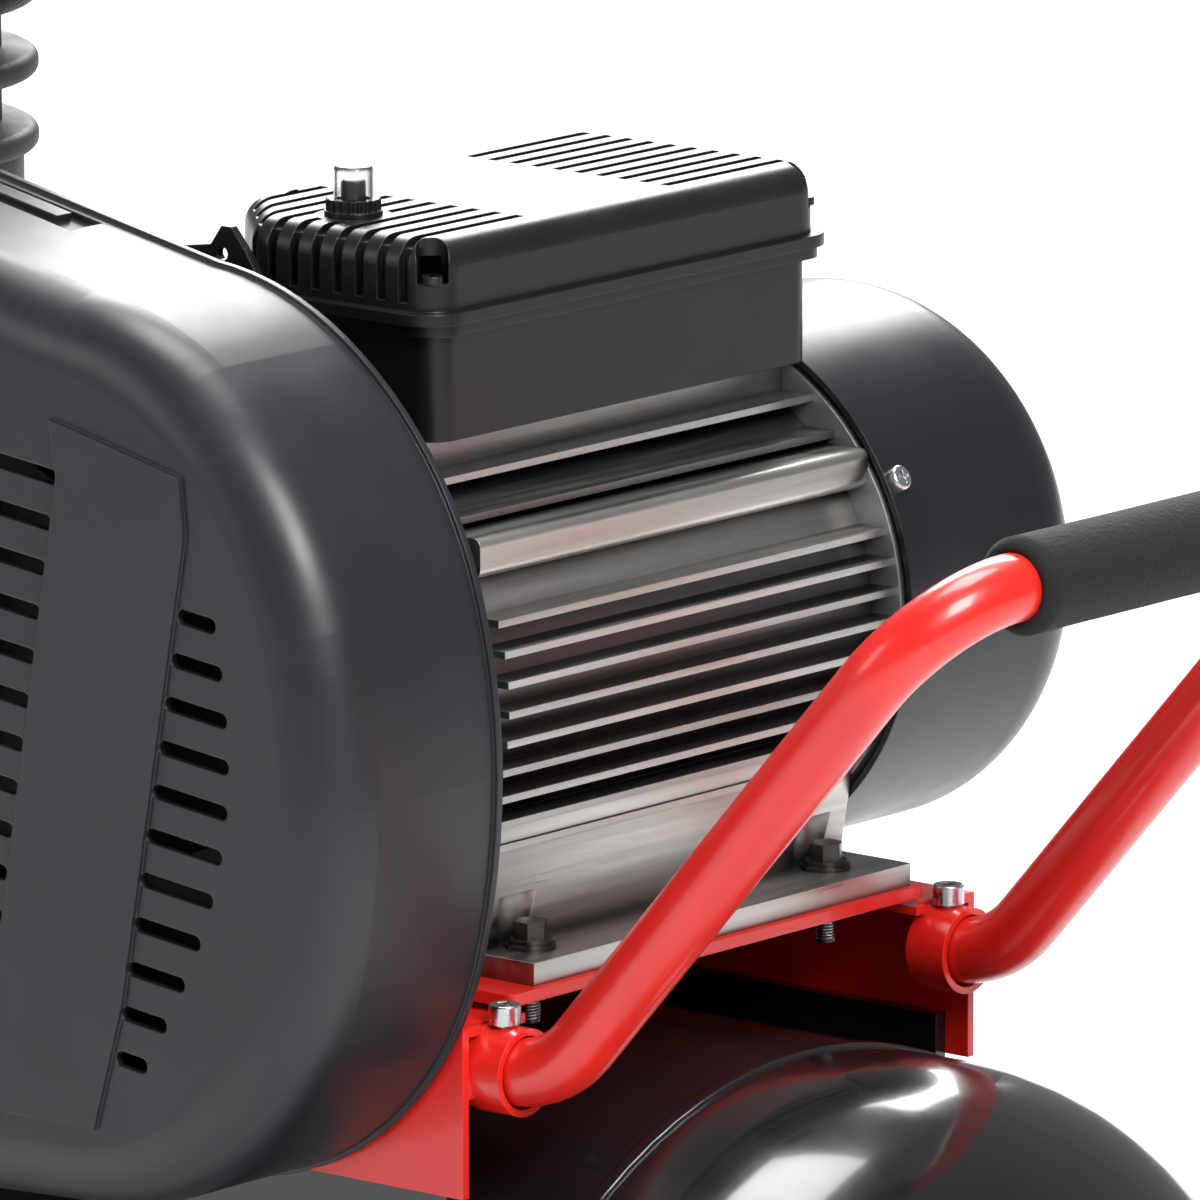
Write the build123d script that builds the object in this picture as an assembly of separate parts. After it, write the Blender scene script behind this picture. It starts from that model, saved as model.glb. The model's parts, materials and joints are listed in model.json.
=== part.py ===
"""Belt-driven air compressor on a horizontal wheeled tank.

Every piece is modelled where it sits. X runs along the tank towards the handle, Y along the
motor shaft away from the belt guard, Z up. While it is built, the datum is the motor axis (x),
the guard end of the motor foot (y) and the top of the platform (z). Before writing, everything
is moved so that the origin is on the floor, under the middle of the assembled machine.
"""
from build123d import *
import math
import os

# ---------------------------------------------------------------- driving dimensions, mm
# motor
MOTOR_AXIS_Z = 91.0
MOTOR_LENGTH = 185.0
MOTOR_START_Y = -10.0
FOOT_LENGTH = 191.0
MOTOR_CORE_R = 74.0
MOTOR_BORE_R = 66.0
FIN_TIP_R = 84.0
FIN_PITCH = 9.6
FIN_THICKNESS = 2.4
FOOT_HALF_WIDTH = 85.6
FOOT_THICKNESS = 7.5
FOOT_BOLT_X = 69.0
FOOT_BOLT_Y = (18.0, 167.5)
SHAFT_R = 9.5
FAN_COVER_R = 90.4
FAN_COVER_Y = (185.5, 287.5)
FAN_COVER_CORNER = 30.0
SHEET = 2.0

# switch box on the motor
BOX_HALF_WIDTH = 50.0
BOX_Y = (-6.0, 184.0)
BOX_BOTTOM_Z = 171.5
BOX_SPLIT_Z = 210.0
BOX_TOP_Z = 237.0
BOX_WALL = 2.5
GROOVE_PITCH = 9.1
GROOVE_COUNT = 10
GROOVE_WIDTH = 3.6
GROOVE_DEPTH = 3.0
BUTTON_XY = (-1.0, 14.0)
CORNER_CUT = -37.0
LID_SCREW_XY = ((-46.5, 32.0), (48.0, -5.0), (-48.0, 181.0), (48.0, 181.0))

# platform, side plates and tank
PLATE = 4.0
PLATFORM_X = (-395.0, 88.5)
PLATFORM_Y = (-15.0, 195.5)
SIDE_PLATE = 3.0
SIDE_Y = (-39.6, 219.7)
SIDE_X_END = 89.5
SIDE_Z = (-61.7, -6.5)
TANK_Y = 90.0
TANK_R = 185.0
TANK_TOP_Z = -33.0
TANK_WALL = 4.0
TANK_X = (-640.0, 148.0)
DOME_DEPTH = 112.0
CROWN_R = 280.0
SEAM_INSET = 28.0
FLOOR_Z = -524.0

# handle
TUBE_R = 11.0
TUBE_WALL = 2.0
SOCKET_R = 14.2
SOCKET_BORE_R = 11.9
SOCKET_X = (85.7, 101.3)
SOCKET_Y = (-22.4, 202.5)
SOCKET_Z = -21.7
HANDLE_ROOT_X = 87.0
HANDLE_ELBOW_X = 113.4
HANDLE_TOP = (265.0, 150.0)
HANDLE_BEND_R = 38.0
GRIP_R = 15.7
GRIP_Y = (17.0, 163.0)

# belt drive
BELT_Y = -80.0
PULLEY_R = 46.0
FLYWHEEL_R = 150.0
BELT_DEPTH = 8.0
BELT_WIDTH = 9.4
BELT_CLEARANCE = 0.6
CRANK_XZ = (-277.0, 105.0)

# belt guard
GUARD_Y = (-122.0, -42.0)
GUARD_WALL = 3.0
GUARD_SHOULDER = 22.0
GUARD_LEFT = (-277.0, 100.0)
GUARD_LEFT_R = 178.0
GUARD_NOSE = (106.8, 78.0)
SLOT_PITCH = 14.5
SLOT_HEIGHT = 5.0
SLOT_TILT = -6.5

# pump
PUMP_Y = 60.0
BORE_R = 40.0
STROKE = 60.0
ROD_LENGTH = 110.0
CRANKCASE_TOP_Z = 172.0
FIN_R = 75.0
CYLINDER_FIN_PITCH = 24.8
CYLINDER_FIN_Z = 226.0
CYLINDER_TOP_Z = 292.0
HEAD_BOLT_REACH = 38.0

# wheels and feet
WHEEL_R = 105.0
RIM_R = 66.0
WHEEL_WIDTH = 44.0
AXLE_R = 10.0
AXLE_X = -600.0
WHEEL_Y = (-100.0, 280.0)
FEET_X = 60.0

# pressure controls, on the tank beyond the platform
MANIFOLD_X = -490.0
REGULATOR_Y = TANK_Y + 62
SWITCH_GLAND_XZ = (-460.0, 62.0)
COUPLER_Y = TANK_Y + 98

CLEAR = 0.05
NODES = {}


# ---------------------------------------------------------------- small helpers
def cyl_x(radius, x0, x1, y, z):
    return Pos((x0 + x1) / 2, y, z) * Rot(0, 90, 0) * Cylinder(radius, x1 - x0)


def cyl_y(radius, y0, y1, x, z):
    return Pos(x, (y0 + y1) / 2, z) * Rot(90, 0, 0) * Cylinder(radius, y1 - y0)


def cyl_z(radius, z0, z1, x, y):
    return Pos(x, y, (z0 + z1) / 2) * Cylinder(radius, z1 - z0)


def block(x0, x1, y0, y1, z0, z1):
    return Pos((x0 + x1) / 2, (y0 + y1) / 2, (z0 + z1) / 2) * Box(x1 - x0, y1 - y0, z1 - z0)


def slab(face, y0, y1):
    """A face drawn in X and Z, made solid from y0 to y1."""
    return extrude(Plane.XZ.offset(-y1) * face, amount=y1 - y0, dir=(0, -1, 0))


def round_box(x0, x1, y0, y1, z0, z1, radius):
    """A box with its four upright edges rounded."""
    face = RectangleRounded(x1 - x0, y1 - y0, radius)
    return extrude(Pos((x0 + x1) / 2, (y0 + y1) / 2, z0) * face, amount=z1 - z0)


def hexagon_z(across_flats, z0, z1, x, y):
    face = RegularPolygon(across_flats / 2, 6, major_radius=False)
    return extrude(Pos(x, y, z0) * face, amount=z1 - z0)


def front_edges(solid, y):
    """The edges of a solid that lie in the plane at y."""
    return solid.edges().filter_by_position(Axis.Y, y - 0.01, y + 0.01)


def group(*solids):
    return Compound(children=[s for item in solids for s in item.solids()])


def node(name, *solids):
    NODES[name] = group(*solids)


# ---------------------------------------------------------------- motor
def motor_side():
    """The +X side of the extruded body: level fins, a bolt rib, the web and the foot."""
    pieces = []
    y0 = MOTOR_START_Y
    for row in range(9):
        z = 118.0 - FIN_PITCH * row
        tip = math.sqrt(FIN_TIP_R ** 2 - (z - MOTOR_AXIS_Z) ** 2)
        pieces.append(block(30, tip, y0, MOTOR_LENGTH, z - FIN_THICKNESS / 2, z + FIN_THICKNESS / 2))
    pieces.append(slab(Pos(63, 138) * RectangleRounded(18, 13, 3), y0, MOTOR_LENGTH))
    pieces.append(block(30, 58, y0, MOTOR_LENGTH, 146.4, 148.8))
    pieces.append(block(30, 48.6, y0, MOTOR_LENGTH, 157.3, 159.7))
    web = Polygon((30, 48), (30, 4), (60, 4), (68, 48), align=None)
    pieces.append(slab(web, y0, MOTOR_LENGTH))
    pieces.append(block(38, FOOT_HALF_WIDTH, 0, FOOT_LENGTH, 0, FOOT_THICKNESS))
    return pieces


def motor_body():
    """Round core, finned sides, flat top pad and feet, all one extrusion."""
    body = cyl_y(MOTOR_CORE_R, MOTOR_START_Y, MOTOR_LENGTH, 0, MOTOR_AXIS_Z)
    body += block(-36, 36, MOTOR_START_Y, MOTOR_LENGTH, 148, BOX_BOTTOM_Z)
    side = motor_side()
    for piece in side:
        body += piece
    for piece in side:
        body += mirror(piece, about=Plane.YZ)
    body -= cyl_y(MOTOR_BORE_R, MOTOR_START_Y - 1, FOOT_LENGTH + 1, 0, MOTOR_AXIS_Z)
    for x in (-FOOT_BOLT_X, FOOT_BOLT_X):
        for y in FOOT_BOLT_Y:
            body -= cyl_z(3.4, -1, 12, x, y)
            body -= cyl_z(10.5, FOOT_THICKNESS, 24, x, y)
    return body


def end_shield(y0, y1, bearing_y0, bearing_y1, radius):
    """A cast shield that closes one end of the motor and seats its bearing."""
    shield = cyl_y(radius, y0, y1, 0, MOTOR_AXIS_Z)
    shield += cyl_y(26, bearing_y0, bearing_y1, 0, MOTOR_AXIS_Z)
    shield -= cyl_y(17.5, bearing_y0 - 1, bearing_y1 + 1, 0, MOTOR_AXIS_Z)
    for step in range(4):
        angle = math.radians(45 + 90 * step)
        x = (radius - 12) * math.cos(angle)
        z = MOTOR_AXIS_Z + (radius - 12) * math.sin(angle)
        shield -= cyl_y(3, y0 - 1, y1 + 1, x, z)
    return shield


def bearing(y0, y1, x, z, bore_r, outer_r):
    ring = cyl_y(outer_r, y0, y1, x, z)
    return ring - cyl_y(bore_r + CLEAR, y0 - 1, y1 + 1, x, z)


def cooling_fan():
    y0, y1 = 210, 236
    fan = cyl_y(20, y0, y1, 0, MOTOR_AXIS_Z) + cyl_y(66, y0, y0 + 3, 0, MOTOR_AXIS_Z)
    for step in range(8):
        blade = block(18, 78, y0, y1, -1.5, 1.5)
        fan += Pos(0, 0, MOTOR_AXIS_Z) * Rot(0, 45 * step, 0) * blade
    return fan - cyl_y(SHAFT_R, y0 - 1, y1 + 1, 0, MOTOR_AXIS_Z)


def fan_cover():
    y0, y1 = FAN_COVER_Y
    cover = cyl_y(FAN_COVER_R, y0, y1, 0, MOTOR_AXIS_Z)
    cover = fillet(front_edges(cover, y1), FAN_COVER_CORNER)
    inner = cyl_y(FAN_COVER_R - SHEET, y0 - 1, y1 - SHEET, 0, MOTOR_AXIS_Z)
    inner = fillet(front_edges(inner, y1 - SHEET), FAN_COVER_CORNER - SHEET)
    cover -= inner
    for ring_r, count in ((16, 6), (30, 10), (44, 14)):
        for step in range(count):
            angle = 360 * step / count
            hole = Pos(ring_r, y1, 0) * Rot(90, 0, 0) * Cylinder(3.4, 12)
            cover -= Pos(0, 0, MOTOR_AXIS_Z) * Rot(0, angle, 0) * hole
    return cover


def fan_cover_screws():
    """Two pan-head screws, square to the cover's wall, with a cross recess."""
    screws = []
    for angle in (28.6, 151.4):
        screw = cyl_x(4.3, FAN_COVER_R, FAN_COVER_R + 3.0, 191, 0)
        screw = fillet(screw.edges().filter_by_position(Axis.X, FAN_COVER_R + 2.9, FAN_COVER_R + 3.1), 1.4)
        for turn in (0, 90):
            cross = Pos(FAN_COVER_R + 2.6, 191, 0) * Rot(turn, 0, 0) * Box(2.4, 4.6, 1.0)
            screw -= cross
        screws.append(Pos(0, 0, MOTOR_AXIS_Z) * Rot(0, -angle, 0) * screw)
    return screws


def foot_bolts():
    """Flanged hexagon bolts, each with a plain washer above and a nut below the platform."""
    pieces = []
    for x in (-FOOT_BOLT_X, FOOT_BOLT_X):
        for y in FOOT_BOLT_Y:
            top = FOOT_THICKNESS
            washer = cyl_z(8.2, top, top + 1.4, x, y) - cyl_z(3.2, top - 1, top + 2, x, y)
            bolt = cyl_z(7.0, top + 1.4, top + 3.0, x, y)
            bolt += hexagon_z(10, top + 3.0, top + 8.6, x, y)
            bolt += cyl_z(3.0, -17, top + 1.4, x, y)
            nut = hexagon_z(10, -PLATE - 5.2, -PLATE, x, y) - cyl_z(3.05, -12, 0, x, y)
            pieces += [washer, bolt, nut]
    return pieces


node("motor_body", motor_body())
stator = cyl_y(MOTOR_BORE_R, 35, 150, 0, MOTOR_AXIS_Z) - cyl_y(44, 30, 155, 0, MOTOR_AXIS_Z)
windings = [
    cyl_y(61, y0, y1, 0, MOTOR_AXIS_Z) - cyl_y(47, y0 - 1, y1 + 1, 0, MOTOR_AXIS_Z)
    for y0, y1 in ((12, 35), (150, 173))
]
node("stator", stator, *windings)
node("front_shield", end_shield(-12, 0, -12, 8, MOTOR_BORE_R - CLEAR))
node("rear_shield", end_shield(MOTOR_LENGTH, MOTOR_LENGTH + 10, 177, MOTOR_LENGTH + 10, 86))
shaft = cyl_y(SHAFT_R, -98, 238, 0, MOTOR_AXIS_Z)
node("motor_shaft", shaft)
node("rotor_core", cyl_y(43, 37, 148, 0, MOTOR_AXIS_Z) - cyl_y(SHAFT_R, 36, 149, 0, MOTOR_AXIS_Z))
node("cooling_fan", cooling_fan())
node("fan_cover", fan_cover())
node("fan_cover_screws", *fan_cover_screws())
node("foot_bolts", *foot_bolts())


# ---------------------------------------------------------------- switch box
def cut_corner(solid, inset, z0, z1):
    """Takes off the corner next to the guard at 45 degrees, inset from the rim's own cut."""
    limit = CORNER_CUT + inset * math.sqrt(2)
    face = Polygon((limit + 100, -100), (-100, limit + 100), (-100, -100), align=None)
    return solid - extrude(Pos(0, 0, z0 - 1) * face, amount=z1 - z0 + 2, dir=(0, 0, 1))


def box_base():
    half = BOX_HALF_WIDTH
    y0, y1 = BOX_Y
    base = round_box(-half, half, y0, y1, BOX_BOTTOM_Z, BOX_SPLIT_Z, 9)
    flange = round_box(-half - 4, half + 4, y0 - 4, y1 + 4, BOX_SPLIT_Z - 4, BOX_SPLIT_Z, 11)
    hollow = round_box(
        -half + BOX_WALL, half - BOX_WALL, y0 + BOX_WALL, y1 - BOX_WALL,
        BOX_BOTTOM_Z + BOX_WALL, BOX_SPLIT_Z + 1, 7,
    )
    base = cut_corner(base, 6, BOX_BOTTOM_Z, BOX_SPLIT_Z)
    flange = cut_corner(flange, 2, BOX_SPLIT_Z - 4, BOX_SPLIT_Z)
    hollow = cut_corner(hollow, 6 + BOX_WALL, BOX_BOTTOM_Z, BOX_SPLIT_Z + 1)
    base = base + flange - hollow
    return base - cyl_x(7, -half - 1, -half + 4, 150, 192)


def box_lid():
    half = BOX_HALF_WIDTH + 3
    y0, y1 = BOX_Y[0] - 5, BOX_Y[1] + 3
    lid = round_box(-half, half, y0, y1, BOX_SPLIT_Z, BOX_TOP_Z, 13)
    lid = cut_corner(lid, 3, BOX_SPLIT_Z, BOX_TOP_Z)
    lid = fillet(lid.edges().filter_by(Axis.Z).sort_by(lambda e: e.center().X + e.center().Y)[:2], 13)
    lid = fillet(lid.edges().filter_by_position(Axis.Z, BOX_TOP_Z - 0.01, BOX_TOP_Z + 0.01), 9)
    rim = round_box(-half - 3, half + 3, y0 - 3, y1 + 4, BOX_SPLIT_Z, BOX_SPLIT_Z + 4, 14)
    hollow = round_box(
        -half + 5.5, half - 5.5, y0 + 5.5, y1 - 5.5, BOX_SPLIT_Z - 1, BOX_TOP_Z - 6, 7,
    )
    rim = cut_corner(rim, 0, BOX_SPLIT_Z, BOX_SPLIT_Z + 4)
    hollow = cut_corner(hollow, 8.5, BOX_SPLIT_Z - 1, BOX_TOP_Z - 6)
    hollow -= cyl_z(7, BOX_SPLIT_Z - 1, BOX_TOP_Z - 6, *LID_SCREW_XY[0])
    lid = lid + rim - hollow
    pad = cyl_z(12.5, BOX_TOP_Z - GROOVE_DEPTH - 1, BOX_TOP_Z, *BUTTON_XY)
    first_x = -GROOVE_PITCH * (GROOVE_COUNT - 1) / 2
    for step in range(GROOVE_COUNT):
        x0 = first_x + GROOVE_PITCH * step - GROOVE_WIDTH / 2
        x1 = x0 + GROOVE_WIDTH
        near = block(x0, x1, y0 - 4, 46.6, BOX_TOP_Z - GROOVE_DEPTH, BOX_TOP_Z + 1)
        near += block(x0, x1, y0 - 4, y0 + 2.5, BOX_SPLIT_Z + 7, BOX_TOP_Z)
        lid -= near - pad
        lid -= block(x0, x1, 118.6, y1 - 5, BOX_TOP_Z - GROOVE_DEPTH, BOX_TOP_Z + 1)
    for x, y in LID_SCREW_XY:
        lid -= cyl_z(5.2, BOX_TOP_Z - 14, BOX_TOP_Z + 1, x, y)
    return lid - cyl_z(6.6, BOX_TOP_Z - 12, BOX_TOP_Z + 1, *BUTTON_XY)


def lid_screws():
    screws = []
    z = BOX_TOP_Z - 14
    for x, y in LID_SCREW_XY:
        head = cyl_z(3.6, z, z + 2.6, x, y)
        for turn in (0, 90):
            head -= Pos(x, y, z + 2.4) * Rot(0, 0, turn) * Box(4.2, 0.9, 1.6)
        screws.append(head)
    return screws


def knurled_nut():
    """A round nut with a flange and a ring of fine grip ribs."""
    nut = cyl_z(9.4, BOX_TOP_Z, BOX_TOP_Z + 1.6, *BUTTON_XY)
    nut += cyl_z(8.2, BOX_TOP_Z + 1.6, BOX_TOP_Z + 5.4, *BUTTON_XY)
    for step in range(20):
        angle = math.radians(18 * step)
        x = BUTTON_XY[0] + 8.2 * math.cos(angle)
        y = BUTTON_XY[1] + 8.2 * math.sin(angle)
        nut += cyl_z(0.7, BOX_TOP_Z + 1.6, BOX_TOP_Z + 5.4, x, y)
    return nut - cyl_z(6.0, BOX_TOP_Z - 1, BOX_TOP_Z + 6, *BUTTON_XY)


def button_boot():
    """The clear dust boot, a thin closed cap over the reset button."""
    boot = cyl_z(6.4, BOX_TOP_Z + 5.4, BOX_TOP_Z + 16, *BUTTON_XY)
    boot = fillet(boot.edges().filter_by_position(Axis.Z, BOX_TOP_Z + 15.9, BOX_TOP_Z + 16.1), 1.6)
    return boot - cyl_z(5.4, BOX_TOP_Z + 5, BOX_TOP_Z + 15, *BUTTON_XY)


node("box_base", box_base())
node("box_lid", box_lid())
node("lid_screws", *lid_screws())
node("button_nut", knurled_nut())
node("button_boot", button_boot())
button = cyl_z(4.0, BOX_TOP_Z - 8, BOX_TOP_Z + 11.5, *BUTTON_XY)
node("reset_button", fillet(button.edges().group_by(Axis.Z)[-1], 1.2))
capacitors = [cyl_y(15, 60 + 62 * i, 116 + 62 * i, 0, 192) for i in range(2)]
node("capacitors", *capacitors)


# ---------------------------------------------------------------- belt drive
def belt_loop(extra):
    """The outline of the belt, at a distance from the grooves' floors, as a closed face."""
    fly = (CRANK_XZ[0], CRANK_XZ[1])
    small = (0.0, MOTOR_AXIS_Z)
    big_r = FLYWHEEL_R - BELT_DEPTH - 1 + BELT_CLEARANCE + extra
    small_r = PULLEY_R - BELT_DEPTH - 1 + BELT_CLEARANCE + extra
    dx, dz = small[0] - fly[0], small[1] - fly[1]
    length = math.hypot(dx, dz)
    heading = math.degrees(math.atan2(dz, dx))
    spread = math.degrees(math.acos((big_r - small_r) / length))
    spots = []
    for sign in (1, -1):
        angle = math.radians(heading + sign * spread)
        for centre, radius in ((fly, big_r), (small, small_r)):
            spots.append((centre[0] + radius * math.cos(angle), centre[1] + radius * math.sin(angle)))
    top_fly, top_small, low_fly, low_small = spots
    nose_angle = math.radians(heading)
    nose = (small[0] + small_r * math.cos(nose_angle), small[1] + small_r * math.sin(nose_angle))
    back = (fly[0] - big_r * math.cos(nose_angle), fly[1] - big_r * math.sin(nose_angle))
    outline = Line(top_fly, top_small) + ThreePointArc(top_small, nose, low_small)
    outline += Line(low_small, low_fly) + ThreePointArc(low_fly, back, top_fly)
    return make_face(outline)


def grooved_rim(radius, width, x, z):
    """A turned disc with one V groove, wide enough to leave the belt clear."""
    half = width / 2
    floor = radius - BELT_DEPTH - 1
    profile = Polygon(
        (0, -half), (radius, -half), (radius, -BELT_WIDTH / 2 - 1.6), (floor, -BELT_WIDTH / 2 - 0.5),
        (floor, BELT_WIDTH / 2 + 0.5), (radius, BELT_WIDTH / 2 + 1.6), (radius, half), (0, half),
        align=None,
    )
    disc = revolve(Plane.XY * profile, Axis.Y)
    return Pos(x, BELT_Y, z) * disc


def flywheel():
    """A cast wheel with five curved blades that also blow air over the pump."""
    wheel = grooved_rim(FLYWHEEL_R, 30, *CRANK_XZ)
    x, z = CRANK_XZ
    for y0, y1 in ((BELT_Y - 16, BELT_Y - 8), (BELT_Y + 8, BELT_Y + 16)):
        wheel -= cyl_y(FLYWHEEL_R - 18, y0, y1, x, z) - cyl_y(30, y0 - 1, y1 + 1, x, z)
    for step in range(5):
        window = Pos(x, BELT_Y, z) * Rot(0, 72 * step, 0) * Pos(78, 0, 0)
        wheel -= window * Rot(90, 0, 0) * Cylinder(30, 40)
    wheel += cyl_y(30, BELT_Y - 15, BELT_Y + 24, x, z)
    return wheel - cyl_y(12.5, BELT_Y - 20, BELT_Y + 30, x, z)


pulley = grooved_rim(PULLEY_R, 24, 0, MOTOR_AXIS_Z) + cyl_y(20, BELT_Y + 12, BELT_Y + 26, 0, MOTOR_AXIS_Z)
node("motor_pulley", pulley - cyl_y(SHAFT_R, -110, -40, 0, MOTOR_AXIS_Z))
node("flywheel", flywheel())
belt_y = (BELT_Y - BELT_WIDTH / 2, BELT_Y + BELT_WIDTH / 2)
node("v_belt", slab(belt_loop(BELT_DEPTH), *belt_y) - slab(belt_loop(0), belt_y[0] - 1, belt_y[1] + 1))


# ---------------------------------------------------------------- belt guard
def smooth_arcs(start, heading, points):
    """Arcs through the points, each one leaving in the direction in which the last arrived."""
    arcs = []
    for point in points:
        arc = TangentArc(start, point, tangent=heading)
        arcs.append(arc)
        leaving = arc % 1
        heading = (leaving.X, leaving.Y)
        start = point
    return arcs


def guard_outline():
    """The guard's side view: a big arc round the flywheel that narrows to a blunt nose."""
    cx, cz = GUARD_LEFT
    tilt_top = math.atan(0.2)
    tilt_low = math.atan(0.047)
    top_left = (cx + GUARD_LEFT_R * math.sin(tilt_top), cz + GUARD_LEFT_R * math.cos(tilt_top))
    low_left = (cx + GUARD_LEFT_R * math.sin(tilt_low), cz - GUARD_LEFT_R * math.cos(tilt_low))
    top_right = (-8.0, top_left[1] - 0.2 * (-8.0 - top_left[0]))
    low_right = (-8.0, low_left[1] + 0.047 * (-8.0 - low_left[0]))
    upper = smooth_arcs(GUARD_NOSE, (0, 1), [(99, 134), (44, 209.5), top_right])
    lower = smooth_arcs(GUARD_NOSE, (0, -1), [(99, 18), (46, -51), low_right])
    outline = Line(top_left, top_right) + Line(low_right, low_left)
    outline += ThreePointArc(low_left, (cx - GUARD_LEFT_R, cz), top_left)
    for arc in upper + lower:
        outline += arc
    return make_face(outline)


def band_face():
    """The plain raised band that leans across the front between the two groups of slots."""
    return Polygon((-9, 190), (45, 178), (47, 160), (20, 6), (8, -36), (-40, -36), (-33, 10), (-6, 172), align=None)


def slot_row(x0, x1, z):
    """One cooling slot, rounded at both ends and tilted with the guard."""
    middle = ((x0 + x1) / 2, z)
    return Pos(*middle) * Rot(0, 0, SLOT_TILT) * SlotOverall(max(x1 - x0, SLOT_HEIGHT * 1.6), SLOT_HEIGHT)


def guard_slots():
    """Two groups of slots whose ends follow the band on one side and an arc on the other."""
    y0 = GUARD_Y[0] - 3
    faces = []
    for row in range(11):
        z = 134.0 - SLOT_PITCH * row
        start = 43.0 - 0.183 * (134.0 - z)
        reach = 19.5 * math.sin(math.pi * (row + 1.0) / 11.5) + 2
        faces.append(slot_row(start, start + 8 + 1.1 * reach, z - 1))
    for row in range(13):
        z = 175.0 - SLOT_PITCH * row
        end = -6.0 - 0.17 * (175.0 - z)
        half_chord = math.sqrt(max(0, 118.0 ** 2 - (z - 98) ** 2))
        faces.append(slot_row(-150 - half_chord * 0.75, end, z + 8))
    cut = slab(faces[0], y0, y0 + 16)
    for face in faces[1:]:
        cut += slab(face, y0, y0 + 16)
    return cut


def guard_cover():
    y0, y1 = GUARD_Y
    outline = guard_outline()
    shell = slab(outline, y0, y1)
    shell = fillet(front_edges(shell, y0), GUARD_SHOULDER)
    inner_face = offset(outline, amount=-GUARD_WALL)
    inner = slab(inner_face, y0 + GUARD_WALL, y1 + 1)
    inner = fillet(front_edges(inner, y0 + GUARD_WALL), GUARD_SHOULDER - GUARD_WALL)
    lip = slab(offset(outline, amount=1.4), y1 - 2.5, y1)
    band = slab(band_face(), y0 - 1.6, y0 + 1)
    shell = shell + lip + band - inner
    shell -= guard_slots()
    latch_x, latch_z = -82.0, 244.0
    tray = Pos(latch_x, y1 - 14, latch_z) * Rot(0, 11.3, 0)
    shell -= tray * Box(60, 16, 9)
    shell += tray * Pos(0, 0, -4.6) * Box(64, 16.8, 1.8)
    shell += tray * Pos(2, 2, -2.6) * Box(34, 7, 3)
    return shell


def guard_back():
    """The flat back plate, open round the shaft, the crank and the pump's cooling air."""
    y1 = GUARD_Y[1]
    plate = slab(offset(guard_outline(), amount=-GUARD_WALL - 0.4), y1 - 5, y1 - 2)
    plate -= cyl_y(24, y1 - 8, y1 + 2, 0, MOTOR_AXIS_Z)
    plate -= cyl_y(36, y1 - 8, y1 + 2, *CRANK_XZ)
    for step in range(12):
        vent = Pos(CRANK_XZ[0], y1, CRANK_XZ[1]) * Rot(0, 30 * step + 15, 0) * Pos(92, 0, 0)
        plate -= vent * Box(74, 20, 14)
    for x, z in ((-200, 180), (-200, 20), (30, 150), (30, 20)):
        plate += cyl_y(6, y1 - 2, y1 + 2.8, x, z)
    return plate


def guard_stay():
    """A folded strap that steadies the guard from the top of the motor."""
    shape = Polygon(
        (-50.6, 212), (-50.6, 225.5), (-33.6, 228), (-29, 234.5), (-25, 234.5), (-18.6, 227), (-12.6, 218),
        (-12.6, 142), (-24.6, 142), (-24.6, 212), align=None,
    )
    strap = slab(shape, -18, -15) - cyl_y(2.2, -20, -10, -28.6, 225.5)
    strap += block(-50.6, -36.6, -38.5, -15, 212, 215)
    return strap + block(-24.6, -12.6, -15, -12, 142, 161)


node("guard_cover", guard_cover())
node("guard_back", guard_back())
node("guard_stay", guard_stay())


# ---------------------------------------------------------------- pump
def crankcase():
    x, z = CRANK_XZ
    y0, y1 = -4, 128
    case = round_box(x - 72, x + 72, y0, y1, 12, CRANKCASE_TOP_Z, 16)
    case += round_box(x - 88, x + 88, y0, y1, 0, 12, 10)
    case += cyl_y(34, -34, y0, x, z)
    case -= round_box(x - 64, x + 64, y0 + 24, y1 - 8, 8, CRANKCASE_TOP_Z + 1, 10)
    case -= cyl_y(26, -22, y0 + 30, x, z)
    case -= cyl_y(13.2, -36, -20, x, z)
    case -= cyl_y(15, y1 - 10, y1 - 4, x, z - 40)
    case += cyl_y(46, y1, y1 + 8, x, z) - cyl_y(12, y1 + 3, y1 + 9, x, z - 24)
    for dx in (-80, 80):
        for y in (14, 110):
            case -= cyl_z(4.5, -1, 14, x + dx, y)
    return case


def crankshaft():
    """An overhung crank: a straight shaft, a balanced web and the stub of the crankpin."""
    x, z = CRANK_XZ
    shaft = cyl_y(12.5, -98, 27, x, z)
    web = slab(Pos(x, z) * SlotOverall(0.1 + 2 * 40, 36, rotation=90), 27, 40)
    web += cyl_y(44, 27, 40, x, z) - block(x - 60, x + 60, 20, 50, z - 60, z + 4)
    pin = cyl_y(12, 40, 43, x, z - STROKE / 2)
    return shaft + web + pin


def conrod():
    x, z = CRANK_XZ
    low = z - STROKE / 2
    high = low + ROD_LENGTH
    rod = cyl_y(21, 46, 74, x, low) + cyl_y(13, 48, 72, x, high)
    rod += block(x - 7, x + 7, 54, 66, low + 10, high - 5)
    rod -= cyl_y(13, 40, 80, x, low)
    return rod - cyl_y(8.05, 40, 80, x, high)


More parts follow.
